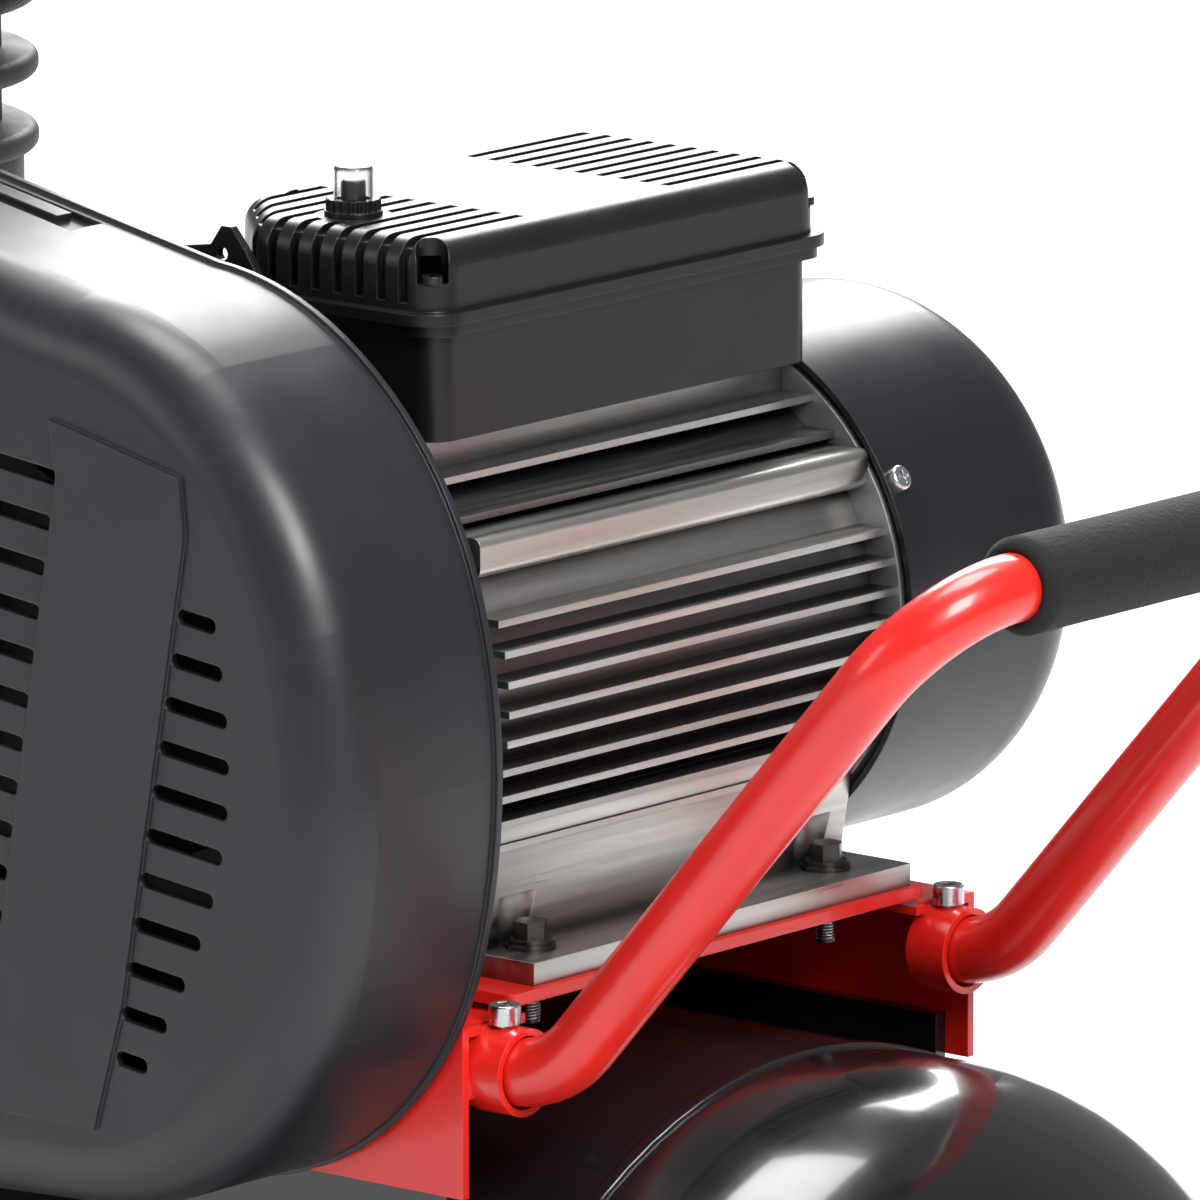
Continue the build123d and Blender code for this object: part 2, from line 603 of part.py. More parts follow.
def piston():
    """The piston at the bottom of its stroke, with three rings and its pin as separate solids."""
    x, z = CRANK_XZ
    pin_z = z - STROKE / 2 + ROD_LENGTH
    bottom, top = pin_z - 22, pin_z + 28
    body = cyl_z(BORE_R - 0.6, bottom, top, x, PUMP_Y)
    body -= cyl_z(BORE_R - 6, bottom - 1, top - 8, x, PUMP_Y)
    for y in (PUMP_Y - 26, PUMP_Y + 26):
        body += cyl_y(13, y - 10, y + 10, x, pin_z)
    body = body & cyl_z(BORE_R - 0.6, bottom, top, x, PUMP_Y)
    body -= cyl_y(8.0, PUMP_Y - 60, PUMP_Y + 60, x, pin_z)
    rings = []
    for step in range(3):
        ring_z = top - 6 - 5 * step
        ring = cyl_z(BORE_R - 0.4, ring_z - 1.2, ring_z + 1.2, x, PUMP_Y)
        ring -= cyl_z(BORE_R - 3, ring_z - 3, ring_z + 3, x, PUMP_Y)
        body -= cyl_z(BORE_R, ring_z - 1.2, ring_z + 1.2, x, PUMP_Y) - cyl_z(BORE_R - 3, ring_z - 3, ring_z + 3, x, PUMP_Y)
        rings.append(ring)
    pin = cyl_y(8.0, PUMP_Y - 33, PUMP_Y + 33, x, pin_z)
    return [body, pin] + rings


def cylinder():
    """The finned barrel; the lowest fin flares into the base that bolts to the crankcase."""
    x = CRANK_XZ[0]
    barrel = cyl_z(52, CRANKCASE_TOP_Z, CYLINDER_TOP_Z, x, PUMP_Y)
    barrel += cyl_z(70, CRANKCASE_TOP_Z, CYLINDER_FIN_Z, x, PUMP_Y)
    for step in range(3):
        z = CYLINDER_FIN_Z + CYLINDER_FIN_PITCH * step
        fin = cyl_z(FIN_R, z - 4, z + 4, x, PUMP_Y)
        barrel += fillet(fin.edges(), 3.4)
    for dx in (-HEAD_BOLT_REACH, HEAD_BOLT_REACH):
        for dy in (-HEAD_BOLT_REACH, HEAD_BOLT_REACH):
            barrel += cyl_z(9, CRANKCASE_TOP_Z, CYLINDER_TOP_Z, x + dx, PUMP_Y + dy)
    return barrel - cyl_z(BORE_R, CRANKCASE_TOP_Z - 1, CYLINDER_TOP_Z + 1, x, PUMP_Y)


def cylinder_head():
    x = CRANK_XZ[0]
    head = round_box(x - 62, x + 62, PUMP_Y - 62, PUMP_Y + 62, CYLINDER_TOP_Z, CYLINDER_TOP_Z + 14, 16)
    head += round_box(x - 52, x + 52, PUMP_Y - 52, PUMP_Y + 52, CYLINDER_TOP_Z, CYLINDER_TOP_Z + 40, 12)
    for step in range(7):
        fin_y = PUMP_Y - 48 + 16 * step
        head += block(x - 58, x + 58, fin_y - 2.5, fin_y + 2.5, CYLINDER_TOP_Z + 10, CYLINDER_TOP_Z + 52)
    head -= round_box(x - 38, x + 38, PUMP_Y - 38, PUMP_Y + 38, CYLINDER_TOP_Z - 1, CYLINDER_TOP_Z + 26, 8)
    head -= cyl_x(6, x - 66, x - 30, PUMP_Y, CYLINDER_TOP_Z + 14)
    return head


def head_bolts():
    bolts = []
    for dx in (-HEAD_BOLT_REACH, HEAD_BOLT_REACH):
        for dy in (-HEAD_BOLT_REACH, HEAD_BOLT_REACH):
            x, y = CRANK_XZ[0] + dx, PUMP_Y + dy
            bolts.append(hexagon_z(13, CYLINDER_TOP_Z + 52, CYLINDER_TOP_Z + 60, x, y))
    return bolts


def intake_filter():
    """The intake silencer: a ribbed round can with louvres, on a short neck."""
    x = CRANK_XZ[0] + 62
    z = CYLINDER_TOP_Z + 26
    can = cyl_x(12, x - 4, x + 12, PUMP_Y, z) + cyl_x(34, x + 12, x + 50, PUMP_Y, z)
    can = fillet(can.edges().filter_by_position(Axis.X, x + 49.9, x + 50.1), 6)
    for step in range(16):
        slot = Pos(x + 32, PUMP_Y, z) * Rot(22.5 * step, 0, 0) * Pos(0, 0, 34)
        can -= slot * Box(24, 3, 5)
    return can


node("crankcase", crankcase())
node("crankshaft", crankshaft())
node("conrod", conrod())
node("piston", *piston())
node("cylinder", cylinder())
node("cylinder_head", cylinder_head())
node("head_bolts", *head_bolts())
node("intake_filter", intake_filter())
node(
    "shaft_bearings",
    bearing(-11, 7, 0, MOTOR_AXIS_Z, SHAFT_R, 17.5),
    bearing(178, 194, 0, MOTOR_AXIS_Z, SHAFT_R, 17.5),
    bearing(-20, -4, *CRANK_XZ, 12.5, 26),
    bearing(6, 22, *CRANK_XZ, 12.5, 26),
)


# ---------------------------------------------------------------- platform, plates and tank
def tank_height(y):
    """Height of the tank's skin above or below the datum at a place across its width."""
    return TANK_TOP_Z - TANK_R + math.sqrt(TANK_R ** 2 - (y - TANK_Y) ** 2)


def dome_arcs(x, side, shrink):
    """Knuckle and crown of one dished end, as two arcs that leave the cylinder smoothly."""
    radius, depth, crown = TANK_R - shrink, DOME_DEPTH - shrink, CROWN_R - shrink
    knuckle = (crown ** 2 - (crown - depth) ** 2 - radius ** 2) / (2 * (crown - radius))
    centre_x = x + side * (depth - crown)
    meet = math.atan2(radius - knuckle, crown - depth)

    def on_crown(angle):
        return (centre_x + side * crown * math.cos(angle), crown * math.sin(angle))

    middle = (math.pi / 2 + meet) / 2
    bend = (x + side * knuckle * math.cos(middle), radius - knuckle + knuckle * math.sin(middle))
    return [
        ThreePointArc((x, radius), bend, on_crown(meet)),
        ThreePointArc(on_crown(meet), on_crown(meet / 2), on_crown(0)),
    ]


def tank_form(shrink):
    """A cylinder with two dished ends, turned about the tank's axis."""
    x0, x1 = TANK_X
    outline = Line((x0, TANK_R - shrink), (x1, TANK_R - shrink))
    for arc in dome_arcs(x0, -1, shrink) + dome_arcs(x1, 1, shrink):
        outline += arc
    outline += Line((x0 - DOME_DEPTH + shrink, 0), (x1 + DOME_DEPTH - shrink, 0))
    body = revolve(make_face(outline), Axis.X)
    return Pos(0, TANK_Y, TANK_TOP_Z - TANK_R) * body


def tank():
    """The welded vessel with its lap seams, port bosses and the rails that carry the side plates."""
    centre_z = TANK_TOP_Z - TANK_R
    vessel = tank_form(0)
    for x in (TANK_X[0] + SEAM_INSET, TANK_X[1] - SEAM_INSET):
        seam = cyl_x(TANK_R + 1.2, x - 3, x + 3, TANK_Y, centre_z)
        vessel += fillet(seam.edges(), 1.1)
    vessel += cyl_z(17, TANK_TOP_Z - 6, TANK_TOP_Z + 10, MANIFOLD_X, TANK_Y)
    vessel += cyl_z(15, TANK_TOP_Z - 6, TANK_TOP_Z + 10, MANIFOLD_X + 62, TANK_Y)
    vessel += cyl_z(15, centre_z - TANK_R - 8, centre_z - TANK_R + 6, -300, TANK_Y)
    vessel += cyl_x(18, TANK_X[1] + DOME_DEPTH - 8, TANK_X[1] + DOME_DEPTH + 8, TANK_Y, centre_z)
    rail_x0, rail_x1 = PLATFORM_X[0] + 15, SIDE_X_END - 9.5
    for y in (SIDE_Y[0] + SIDE_PLATE, SIDE_Y[1] - SIDE_PLATE - 5):
        vessel += block(rail_x0, rail_x1, y, y + 5, tank_height(y) - 20, SIDE_Z[0] + 14)
    vessel -= tank_form(TANK_WALL)
    vessel -= cyl_z(8.5, TANK_TOP_Z - 20, TANK_TOP_Z + 11, MANIFOLD_X, TANK_Y)
    vessel -= cyl_z(6.5, TANK_TOP_Z - 20, TANK_TOP_Z + 11, MANIFOLD_X + 62, TANK_Y)
    return vessel - cyl_z(6.5, centre_z - TANK_R - 9, centre_z - TANK_R + 10, -300, TANK_Y)


def platform():
    x0, x1 = PLATFORM_X
    y0, y1 = PLATFORM_Y
    plate = round_box(x0, x1, y0, y1, -PLATE, 0, 3)
    for x in (-FOOT_BOLT_X, FOOT_BOLT_X):
        for y in FOOT_BOLT_Y:
            plate -= cyl_z(3.3, -PLATE - 1, 1, x, y)
    return plate


def side_plates():
    """Two upright plates, each with a flange that reaches under the edge of the platform."""
    x0, x1 = PLATFORM_X[0], SIDE_X_END
    z0, z1 = SIDE_Z
    plates = []
    for outer, inner, reach in (
        (SIDE_Y[0], SIDE_Y[0] + SIDE_PLATE, PLATFORM_Y[0] + 6),
        (SIDE_Y[1], SIDE_Y[1] - SIDE_PLATE, PLATFORM_Y[1] - 6),
    ):
        wall = block(x0, x1, min(outer, inner), max(outer, inner), z0, z1)
        flange = block(x0, x1, min(outer, reach), max(outer, reach), z1 - SIDE_PLATE, z1)
        riser_y0 = min(reach, reach + (6 if reach > TANK_Y else -6))
        spacer = block(x0 + 8, x1 - 22, riser_y0, riser_y0 + 6, z1 - SIDE_PLATE, -PLATE)
        plate = wall + flange + spacer
        for y in SOCKET_Y:
            plate -= block(SOCKET_X[0] - 0.4, x1 + 4, y - 8.4, y + 8.4, -14, 4)
        plates.append(plate)
    return plates


def handle_sockets():
    sockets = []
    for y, wall_y in zip(SOCKET_Y, (SIDE_Y[0] + SIDE_PLATE, SIDE_Y[1] - SIDE_PLATE)):
        x0, x1 = SOCKET_X
        socket = cyl_x(SOCKET_R, x0, x1, y, SOCKET_Z)
        socket += block(x0, SIDE_X_END, min(y, wall_y), max(y, wall_y), SOCKET_Z - 8, SOCKET_Z + 2)
        socket -= cyl_x(SOCKET_BORE_R, x0 - 1, x1 + 1, y, SOCKET_Z)
        socket -= cyl_z(3.0, SOCKET_Z, SOCKET_Z + 20, x0 + 6.6, y)
        sockets.append(socket)
    return sockets


def clamp_screws():
    """Socket-head cap screws that press on the handle's legs."""
    screws = []
    for y in SOCKET_Y:
        x = SOCKET_X[0] + 6.6
        z = SOCKET_Z + SOCKET_R + 0.6
        head = cyl_z(5.2, z, z + 6.4, x, y)
        head = fillet(head.edges().group_by(Axis.Z)[-1], 0.7)
        head -= hexagon_z(5.2, z + 3.4, z + 7, x, y)
        screws.append(head + cyl_z(3.0, SOCKET_Z + TUBE_R, z, x, y))
    return screws


def handle_path():
    """Centre line of the U handle, from one socket over the crossbar to the other."""
    top_x, top_z = HANDLE_TOP
    near, far = SOCKET_Y
    corners = [
        (HANDLE_ROOT_X, near, SOCKET_Z), (HANDLE_ELBOW_X, near, SOCKET_Z), (top_x, near, top_z),
        (top_x, far, top_z), (HANDLE_ELBOW_X, far, SOCKET_Z), (HANDLE_ROOT_X, far, SOCKET_Z),
    ]
    return FilletPolyline(*corners, radius=[HANDLE_BEND_R] * 4)


def handle():
    path = handle_path()
    start = Plane(origin=path @ 0, z_dir=path % 0)
    ring = Circle(TUBE_R) - Circle(TUBE_R - TUBE_WALL)
    return sweep(start * ring, path=path)


node("tank", tank())
node("platform", platform())
node("side_plates", *side_plates())
node("handle_sockets", *handle_sockets())
node("clamp_screws", *clamp_screws())
node("handle", handle())
grip = cyl_y(GRIP_R, *GRIP_Y, *HANDLE_TOP)
grip = fillet(grip.edges().filter_by(GeomType.CIRCLE), 2.5)
node("grip", grip - cyl_y(TUBE_R, GRIP_Y[0] - 1, GRIP_Y[1] + 1, *HANDLE_TOP))


# ---------------------------------------------------------------- wheels, axle and feet
AXLE_Z = FLOOR_Z + WHEEL_R


def wheel_rim(y):
    half = WHEEL_WIDTH / 2
    rim = cyl_y(RIM_R, y - 19, y + 19, AXLE_X, AXLE_Z)
    rim -= cyl_y(RIM_R - 7, y - 20, y + 20, AXLE_X, AXLE_Z)
    rim += cyl_y(RIM_R - 5, y - 3, y + 3, AXLE_X, AXLE_Z)
    rim += cyl_y(22, y - half, y + half, AXLE_X, AXLE_Z)
    for step in range(6):
        window = Pos(AXLE_X, y, AXLE_Z) * Rot(0, 60 * step, 0) * Pos(41, 0, 0)
        rim -= window * Rot(90, 0, 0) * Cylinder(10, 12)
    return rim - cyl_y(AXLE_R + CLEAR, y - 40, y + 40, AXLE_X, AXLE_Z)


def tyre(y):
    half = WHEEL_WIDTH / 2
    profile = Polygon(
        (RIM_R, -19), (WHEEL_R - 12, -half), (WHEEL_R, -half + 8), (WHEEL_R, half - 8),
        (WHEEL_R - 12, half), (RIM_R, 19), align=None,
    )
    ring = revolve(Plane.XY * profile, Axis.Y)
    for step in range(30):
        lug = Rot(0, 12 * step, 0) * Pos(WHEEL_R, 0, 0) * Rot(0, 0, 35) * Box(5, half * 2.6, 3)
        ring -= lug
    return Pos(AXLE_X, y, AXLE_Z) * ring


def axle():
    """The axle with a washer face and a domed retaining cap at each end."""
    y0, y1 = WHEEL_Y[0] - WHEEL_WIDTH / 2, WHEEL_Y[1] + WHEEL_WIDTH / 2
    bar = cyl_y(AXLE_R, y0 - 6, y1 + 6, AXLE_X, AXLE_Z)
    for side, edge in ((-1, y0), (1, y1)):
        near, far = edge + side * 0.5, edge + side * 9
        bar += cyl_y(16, min(near, far), max(near, far), AXLE_X, AXLE_Z)
    return bar


def axle_brackets():
    """Two plates welded under the tank, each with a round eye for the axle."""
    plates = []
    centre_z = TANK_TOP_Z - TANK_R
    wedge = Polygon(
        (AXLE_X - 24, AXLE_Z - 14), (AXLE_X + 24, AXLE_Z - 14), (AXLE_X + 65, centre_z - 90),
        (AXLE_X - 45, centre_z - 90), align=None,
    )
    seam_x = TANK_X[0] + SEAM_INSET
    for y in (TANK_Y - 95, TANK_Y + 90):
        plate = slab(wedge, y, y + 5) + cyl_y(24, y, y + 5, AXLE_X, AXLE_Z)
        plate -= tank_form(0)
        plate -= cyl_x(TANK_R + 1.3, seam_x - 4, seam_x + 4, TANK_Y, centre_z)
        plates.append(plate - cyl_y(AXLE_R, y - 1, y + 6, AXLE_X, AXLE_Z))
    return plates


def foot_bracket():
    """A folded channel welded under the handle end of the tank."""
    centre_z = TANK_TOP_Z - TANK_R
    channel = block(FEET_X - 25, FEET_X + 25, TANK_Y - 130, TANK_Y + 130, FLOOR_Z + 30, FLOOR_Z + 34)
    for y in (TANK_Y - 78, TANK_Y + 74):
        channel += block(FEET_X - 25, FEET_X + 25, y, y + 4, FLOOR_Z + 30, centre_z - 150)
    channel -= tank_form(0)
    for y in (TANK_Y - 112, TANK_Y + 112):
        channel -= cyl_z(5, FLOOR_Z + 20, FLOOR_Z + 40, FEET_X, y)
    return channel


def rubber_feet():
    feet = []
    for y in (TANK_Y - 112, TANK_Y + 112):
        foot = Pos(FEET_X, y, FLOOR_Z + 15) * Cone(22, 17, 30)
        feet.append(foot + cyl_z(5, FLOOR_Z + 29, FLOOR_Z + 36, FEET_X, y))
    return feet


node("wheel_rim_near", wheel_rim(WHEEL_Y[0]))
node("tyre_near", tyre(WHEEL_Y[0]))
node("wheel_rim_far", wheel_rim(WHEEL_Y[1]))
node("tyre_far", tyre(WHEEL_Y[1]))
node("axle", axle())
node("axle_brackets", *axle_brackets())
node("foot_bracket", foot_bracket())
node("rubber_feet", *rubber_feet())


# ---------------------------------------------------------------- air controls
MANIFOLD_Z = TANK_TOP_Z + 10


def manifold_block():
    """The brass block on the tank's port that carries every air fitting."""
    x, y, z = MANIFOLD_X, TANK_Y, MANIFOLD_Z
    body = cyl_z(15, z, z + 40, x, y) - cyl_z(8, z - 1, z + 12, x, y)
    body += round_box(x - 20, x + 20, y - 20, y + 20, z + 12, z + 40, 4)
    return body


def switch_housing():
    """The hollow cover of the pressure switch, open at the top for its knob."""
    x, y, z = MANIFOLD_X, TANK_Y, MANIFOLD_Z
    cover = round_box(x - 42, x + 42, y - 34, y + 34, z + 40, z + 112, 8)
    cover = fillet(cover.edges().group_by(Axis.Z)[-1], 5)
    cover -= round_box(x - 38, x + 38, y - 30, y + 30, z + 44, z + 108, 5)
    return cover - cyl_z(7, z + 100, z + 120, x, y)


def knob(radius, height, ribs):
    """A plain knob along Z with grip ribs round its rim."""
    turn = fillet(Cylinder(radius, height).edges().group_by(Axis.Z)[-1], 2)
    for step in range(ribs):
        angle = 2 * math.pi * step / ribs
        turn -= Pos(radius * math.cos(angle), radius * math.sin(angle), 0) * Cylinder(1.3, height + 1)
    return turn


def regulator():
    """Regulator body on the manifold's side with the gauge boss and the outlet stub."""
    x, y, z = MANIFOLD_X, TANK_Y, MANIFOLD_Z + 26
    body = cyl_y(9, y + 20, REGULATOR_Y, x, z) + cyl_z(19, z - 18, z + 22, x, REGULATOR_Y)
    body += cyl_y(8, REGULATOR_Y + 10, COUPLER_Y, x, z)
    body += cyl_x(7, x - 34, x - 10, REGULATOR_Y, z)
    return body - cyl_y(4.5, REGULATOR_Y + 5, COUPLER_Y + 1, x, z)


def gauge():
    x, y, z = MANIFOLD_X - 44, REGULATOR_Y, MANIFOLD_Z + 26
    case = cyl_x(24, x - 12, x + 10, y, z)
    return case - cyl_x(21.5, x - 13, x - 4, y, z)


def gauge_needle():
    """A slim pointer on a small hub, at rest on the stop at the lower left of the dial."""
    x, y, z = MANIFOLD_X - 44, REGULATOR_Y, MANIFOLD_Z + 26
    needle = cyl_x(2.4, x - 8.5, x - 5.5, y, z)
    pointer = block(-0.5, 0.5, -0.8, 0.8, -17, 5)
    return needle + Pos(x - 7.3, y, z) * Rot(45, 0, 0) * pointer


def safety_valve():
    x, y, z = MANIFOLD_X, TANK_Y - 20, MANIFOLD_Z + 26
    body = cyl_y(7, y - 26, y, x, z) + cyl_z(8.5, z - 9, z + 20, x, y - 26)
    return body - cyl_z(2.4, z + 2, z + 21, x, y - 26)


def safety_stem():
    """The pull stem of the safety valve with its ring."""
    x, y, z = MANIFOLD_X, TANK_Y - 46, MANIFOLD_Z + 26
    stem = cyl_z(2.3, z + 6, z + 30, x, y)
    ring = Pos(x, y, z + 38) * Rot(90, 0, 0) * Torus(9, 1.2)
    return stem + ring


def coupler_sleeve():
    x, y, z = MANIFOLD_X, COUPLER_Y, MANIFOLD_Z + 26
    sleeve = cyl_y(12, y + 2, y + 24, x, z) - cyl_y(8.4, y, y + 30, x, z)
    for step in range(4):
        ring = cyl_y(13, y + 6 + 4 * step, y + 7.4 + 4 * step, x, z)
        sleeve -= ring - cyl_y(11.3, y, y + 30, x, z)
    return sleeve


def coupler_body():
    """The fixed core of the quick coupler that the sleeve slides on."""
    x, y, z = MANIFOLD_X, COUPLER_Y, MANIFOLD_Z + 26
    return cyl_y(8.3 - CLEAR, y, y + 28, x, z) - cyl_y(5.6, y - 1, y + 29, x, z)


def delivery_pipe():
    """Finned-cylinder outlet to check valve: one bent tube with a nut at each end."""
    head_x = CRANK_XZ[0] - 52
    z = CYLINDER_TOP_Z + 14
    valve_x, valve_y = MANIFOLD_X + 62, TANK_Y
    path = FilletPolyline(
        (head_x, PUMP_Y, z), (head_x - 55, PUMP_Y, z), (valve_x, valve_y, z - 60), (valve_x, valve_y, MANIFOLD_Z + 34),
        radius=[28, 40],
    )
    start = Plane(origin=path @ 0, z_dir=path % 0)
    pipe = sweep(start * Circle(6), path=path)
    valve = cyl_z(13, MANIFOLD_Z, MANIFOLD_Z + 30, valve_x, valve_y)
    valve += hexagon_z(24, MANIFOLD_Z + 10, MANIFOLD_Z + 22, valve_x, valve_y)
    nut = cyl_z(10, MANIFOLD_Z + 30, MANIFOLD_Z + 44, valve_x, valve_y) - cyl_z(6, 0, 90, valve_x, valve_y)
    return [pipe, valve, nut]


def drain_valve():
    x, y, z = -300, TANK_Y, TANK_TOP_Z - 2 * TANK_R - 8
    return cyl_z(8, z - 14, z, x, y) + hexagon_z(19, z - 8, z - 2, x, y)


def drain_knob():
    x, y, z = -300, TANK_Y, TANK_TOP_Z - 2 * TANK_R - 22
    knob_body = cyl_z(6, z - 12, z - 0.5, x, y)
    return knob_body + block(x - 14, x + 14, y - 2, y + 2, z - 12, z - 3)


def motor_lead():
    """The lead from the switch box down to the pressure switch, laid along the platform."""
    x, z = SWITCH_GLAND_XZ
    points = [
        (-BOX_HALF_WIDTH - 12, 150, 192), (-100, 150, 192), (-136, 156, 158), (-158, 166, 112),
        (-182, 174, 70), (-216, 180, 34), (-262, 181, 14), (-314, 179, 8), (-362, 177, 18),
        (-404, 180, 38), (-438, 177, 54), (x, 160, z), (x, TANK_Y + 48, z),
    ]
    radii = []
    for before, here, after in zip(points, points[1:], points[2:]):
        run_in = Vector(*here) - Vector(*before)
        run_out = Vector(*after) - Vector(*here)
        turn = math.radians(run_in.get_angle(run_out))
        radii.append(0.45 * min(run_in.length, run_out.length) / math.tan(turn / 2))
    path = FilletPolyline(*points, radius=radii)
    print("motor lead: length", round(path.length), "radii", [round(r) for r in radii])
    start = Plane(origin=path @ 0, z_dir=path % 0)
    lead = sweep(start * Circle(4), path=path)
    print("motor lead: volume over section times length", round(lead.volume / (math.pi * 16 * path.length), 3))
    return lead


node("motor_lead", motor_lead())
box_gland = cyl_x(8.5, -BOX_HALF_WIDTH - 12, -BOX_HALF_WIDTH, 150, 192)
switch_gland = cyl_y(8, TANK_Y + 34, TANK_Y + 48, *SWITCH_GLAND_XZ)
node("cable_glands", box_gland, switch_gland)
node("manifold", manifold_block(), regulator(), coupler_body(), safety_valve())
node("pressure_switch", switch_housing())
switch_knob = Pos(MANIFOLD_X, TANK_Y, MANIFOLD_Z + 124) * knob(13, 16, 12)
switch_knob += cyl_z(6.9 - CLEAR, MANIFOLD_Z + 98, MANIFOLD_Z + 117, MANIFOLD_X, TANK_Y)
node("switch_knob", switch_knob)
regulator_top = MANIFOLD_Z + 26 + 22
node("regulator_knob", Pos(MANIFOLD_X, REGULATOR_Y, regulator_top + 14.4) * knob(18, 28, 16))
node("gauge", gauge())
node("gauge_needle", gauge_needle())
node("safety_stem", safety_stem())
node("coupler_sleeve", coupler_sleeve())
node("delivery_pipe", *delivery_pipe())
node("drain_valve", drain_valve())
node("drain_knob", drain_knob())


# ---------------------------------------------------------------- move to the floor and write
def assembled_box():
    boxes = [shape.bounding_box() for shape in NODES.values()]
    low = [min(getattr(b.min, axis) for b in boxes) for axis in "XYZ"]
    high = [max(getattr(b.max, axis) for b in boxes) for axis in "XYZ"]
    return low, high


LOW, HIGH = assembled_box()
SHIFT = (-(LOW[0] + HIGH[0]) / 2, -(LOW[1] + HIGH[1]) / 2, -LOW[2])
os.makedirs("parts", exist_ok=True)
for name, shape in NODES.items():
    export_step(Pos(*SHIFT) * shape, f"parts/{name}.step")
print("nodes", len(NODES), "size", [round(h - l, 1) for l, h in zip(LOW, HIGH)], "shift", SHIFT)
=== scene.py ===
import bpy
import bmesh
import json
import math
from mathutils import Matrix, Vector, noise


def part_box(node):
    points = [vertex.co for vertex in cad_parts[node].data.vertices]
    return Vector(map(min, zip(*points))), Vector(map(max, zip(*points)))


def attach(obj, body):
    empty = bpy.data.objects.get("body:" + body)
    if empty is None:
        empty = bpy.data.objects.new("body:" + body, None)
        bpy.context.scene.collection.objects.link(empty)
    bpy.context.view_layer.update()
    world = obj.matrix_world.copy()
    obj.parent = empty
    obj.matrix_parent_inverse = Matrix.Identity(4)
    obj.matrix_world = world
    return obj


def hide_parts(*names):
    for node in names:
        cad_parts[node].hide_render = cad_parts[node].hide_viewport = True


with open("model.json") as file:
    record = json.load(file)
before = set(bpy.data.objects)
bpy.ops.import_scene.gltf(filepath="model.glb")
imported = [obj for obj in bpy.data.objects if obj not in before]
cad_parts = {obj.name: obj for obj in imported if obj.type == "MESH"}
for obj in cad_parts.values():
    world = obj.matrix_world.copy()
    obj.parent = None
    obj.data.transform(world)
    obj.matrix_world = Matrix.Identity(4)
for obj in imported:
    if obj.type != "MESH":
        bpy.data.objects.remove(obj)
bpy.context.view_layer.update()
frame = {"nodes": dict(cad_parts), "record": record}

# Lengths are in metres, and the scale of a noise is its number of features per metre.

# ---------------------------------------------------------------- finishes
NO_STRETCH = (1, 1, 1)
BEVEL_SAMPLES = 6
CREVICE_SAMPLES = 6
CREVICE_SPAN = (0.25, 0.85)
PATCH_SPAN = (0.35, 0.68)
PATCH_DETAIL = 5.0
GLOSS_SPAN = (0.3, 0.7)
GLOSS_FINENESS = 3.1
GLOSS_DETAIL = 4.0
GRAIN_DETAIL = 3.0
WAVE_DETAIL = 2.0

FOAM_CELL_SCALE = 620.0
FOAM_CELL_SPAN = (0.0, 0.35)
FOAM_CELL_BUMP = (0.55, 0.0004)
FOAM_LUMP_SCALE = 160.0
FOAM_LUMP_DETAIL = 4.0
FOAM_LUMP_BUMP = (0.3, 0.0005)
FOAM_EDGE = 0.0004

CLEAR_IOR = 1.46
HAZE_SCALE = 240.0
HAZE_DETAIL = 3.0
HAZE_SPREAD = 0.12


def new_material(name):
    """A new material with its node tree and its shader."""
    material = bpy.data.materials.new(name)
    material.use_nodes = True
    return material, material.node_tree, material.node_tree.nodes["Principled BSDF"]


def object_coords(tree, stretch=NO_STRETCH):
    """Coordinates that stay with the piece; a factor below 1 draws the pattern out along its axis."""
    coords = tree.nodes.new("ShaderNodeTexCoord")
    mapping = tree.nodes.new("ShaderNodeMapping")
    mapping.inputs["Scale"].default_value = stretch
    tree.links.new(coords.outputs["Object"], mapping.inputs["Vector"])
    return mapping.outputs["Vector"]


def noise_node(tree, vector, scale, detail):
    """Soft random values from 0 to 1."""
    node = tree.nodes.new("ShaderNodeTexNoise")
    node.inputs["Scale"].default_value = scale
    node.inputs["Detail"].default_value = detail
    tree.links.new(vector, node.inputs["Vector"])
    return node.outputs["Fac"]


def remap(tree, value, before, after):
    """The span before laid onto the span after; values outside it are held at its ends."""
    node = tree.nodes.new("ShaderNodeMapRange")
    for socket, limit in zip(("From Min", "From Max", "To Min", "To Max"), (*before, *after)):
        node.inputs[socket].default_value = limit
    tree.links.new(value, node.inputs["Value"])
    return node.outputs["Result"]


def blend_colours(tree, factor, span, colours):
    """The first colour below the span, the second above it, and a blend between."""
    node = tree.nodes.new("ShaderNodeValToRGB")
    for element, position, colour in zip(node.color_ramp.elements, span, colours):
        element.position = position
        element.color = (*colour, 1)
    tree.links.new(factor, node.inputs["Fac"])
    return node.outputs["Color"]


def bump_chain(tree, layers, edge):
    """Bump layers over softly rounded edges; each layer is (height socket, strength, depth)."""
    bevel = tree.nodes.new("ShaderNodeBevel")
    bevel.samples = BEVEL_SAMPLES
    bevel.inputs["Radius"].default_value = edge
    normal = bevel.outputs["Normal"]
    for height, strength, depth in layers:
        bump = tree.nodes.new("ShaderNodeBump")
        bump.inputs["Strength"].default_value = strength
        bump.inputs["Distance"].default_value = depth
        tree.links.new(height, bump.inputs["Height"])
        tree.links.new(normal, bump.inputs["Normal"])
        normal = bump.outputs["Normal"]
    return normal


def paint_crevice_shade(tree, colour, reach, floor_share):
    """Painted shade in narrow gaps: the colour falls to a share of itself where walls are close."""
    hollow = tree.nodes.new("ShaderNodeAmbientOcclusion")
    hollow.samples = CREVICE_SAMPLES
    hollow.inputs["Distance"].default_value = reach
    share = remap(tree, hollow.outputs["AO"], CREVICE_SPAN, (floor_share, 1.0))
    scaled = tree.nodes.new("ShaderNodeVectorMath")
    scaled.operation = "SCALE"
    tree.links.new(colour, scaled.inputs[0])
    tree.links.new(share, scaled.inputs["Scale"])
    return scaled.outputs["Vector"]


